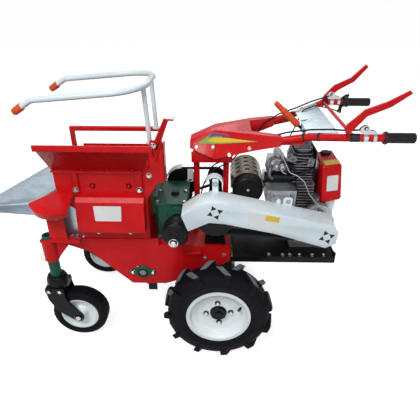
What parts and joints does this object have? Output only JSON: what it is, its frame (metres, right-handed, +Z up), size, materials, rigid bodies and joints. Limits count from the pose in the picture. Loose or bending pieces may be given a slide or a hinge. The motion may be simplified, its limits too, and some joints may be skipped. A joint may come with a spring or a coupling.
{
  "type": "corn harvester",
  "caption": "Walk-behind corn harvester for one row: open throat with snapping rolls, flail chopper below, lugged drive wheels, front casters, belt-driven gearbox, rear engine and handlebar.",
  "frame": {"origin": "centre of the bounding box at ground level", "axes": "+X to the rear, towards the handlebar; +Y to the machine's right; +Z up"},
  "size_m": [1.94, 0.782, 1.1513],
  "materials": {
    "tyre_rubber": "matte",
    "wheel_white": "satin",
    "black_metal": "satin",
    "red_paint": "gloss",
    "green_paint": "gloss",
    "white_paint": "gloss",
    "silver_sheet": "satin",
    "dark_steel": "satin",
    "orange_plastic": "matte",
    "red_plastic": "gloss",
    "black_plastic": "matte",
    "belt_rubber": "matte",
    "engine_alloy": "satin",
    "heat_shield": "satin"
  },
  "bodies": {
    "frame": {"axle_case": "green_paint", "caster_tubes": "green_paint", "stalk_decks": "red_paint", "caster_brackets": "red_paint", "chassis_sides": "red_paint", "chassis_deck": "red_paint", "header_sides": "red_paint", "header_back": "red_paint", "strip_plates": "silver_sheet", "roll_drive_box": "green_paint", "hopper_panel": "red_paint", "guard_rail": "red_paint", "side_covers": "red_paint", "divider_left": "silver_sheet", "divider_right": "silver_sheet", "guide_loop": "white_paint", "guide_caps": "orange_plastic", "latch_lever": "red_paint", "gearbox": "green_paint", "clutch_pulley": "black_metal", "jackshaft": "black_metal", "belt_pulleys": "black_metal", "jackshaft_stand": "red_paint", "drive_belt": "belt_rubber", "belt_guard": "white_paint", "roll_pulley_guard": "white_paint", "engine_bed": "black_metal", "rear_hitch": "red_paint", "engine_block": "engine_alloy", "engine_shroud": "black_plastic", "engine_head": "engine_alloy", "recoil_starter": "black_plastic", "muffler": "black_metal", "fuel_tank": "red_plastic", "handle_post": "red_paint", "handle_fairing": "red_plastic", "handle_bars": "red_paint", "grips": "black_plastic", "clutch_levers": "red_paint", "gear_plate": "silver_sheet", "gear_lever": "black_metal", "gear_knob": "orange_plastic", "muffler_shield": "heat_shield", "engine_cylinder": "dark_steel", "chopper_bearings": "green_paint"},
    "drive_wheel_left": {"drive_tyre_left": "tyre_rubber", "drive_rim_left": "wheel_white", "drive_hub_left": "black_metal"},
    "drive_wheel_right": {"drive_tyre_right": "tyre_rubber", "drive_rim_right": "wheel_white", "drive_hub_right": "black_metal"},
    "caster_left": {"caster_fork_left": "black_metal"},
    "caster_right": {"caster_fork_right": "black_metal"},
    "caster_wheel_left": {"caster_tyre_left": "tyre_rubber", "caster_rim_left": "wheel_white"},
    "caster_wheel_right": {"caster_tyre_right": "tyre_rubber", "caster_rim_right": "wheel_white"},
    "chopper": {"chopper_rotor": "dark_steel"},
    "roll_left": {"snap_roll_left": "dark_steel"},
    "roll_right": {"snap_roll_right": "dark_steel"}
  },
  "joints": [
    {"name": "drive_spin_left", "type": "hinge", "parent": "frame", "child": "drive_wheel_left", "pos_m": [0.28, -0.335, 0.233], "axis": [0, 1, 0], "continuous": true},
    {"name": "drive_spin_right", "type": "hinge", "parent": "frame", "child": "drive_wheel_right", "pos_m": [0.28, 0.335, 0.233], "axis": [0, 1, 0], "continuous": true},
    {"name": "caster_swivel_left", "type": "hinge", "parent": "frame", "child": "caster_left", "pos_m": [-0.442, -0.233, 0.33], "axis": [0, 0, 1], "continuous": true},
    {"name": "caster_spin_left", "type": "hinge", "parent": "caster_left", "child": "caster_wheel_left", "pos_m": [-0.36, -0.233, 0.125], "axis": [0, 1, 0], "continuous": true},
    {"name": "caster_swivel_right", "type": "hinge", "parent": "frame", "child": "caster_right", "pos_m": [-0.442, 0.233, 0.33], "axis": [0, 0, 1], "continuous": true},
    {"name": "caster_spin_right", "type": "hinge", "parent": "caster_right", "child": "caster_wheel_right", "pos_m": [-0.36, 0.233, 0.125], "axis": [0, 1, 0], "continuous": true},
    {"name": "chopper_spin", "type": "hinge", "parent": "frame", "child": "chopper", "pos_m": [-0.06, 0, 0.33], "axis": [0, 1, 0], "continuous": true},
    {"name": "roll_spin_left", "type": "hinge", "parent": "frame", "child": "roll_left", "pos_m": [-0.02, -0.046, 0.625], "axis": [-0.9461, 0, -0.3239], "continuous": true},
    {"name": "roll_spin_right", "type": "hinge", "parent": "frame", "child": "roll_right", "pos_m": [-0.02, 0.046, 0.625], "axis": [-0.9461, 0, -0.3239], "continuous": true}
  ],
  "couplings": [
    {"joint": "roll_spin_right", "follows": "roll_spin_left", "ratio": -1}
  ]
}
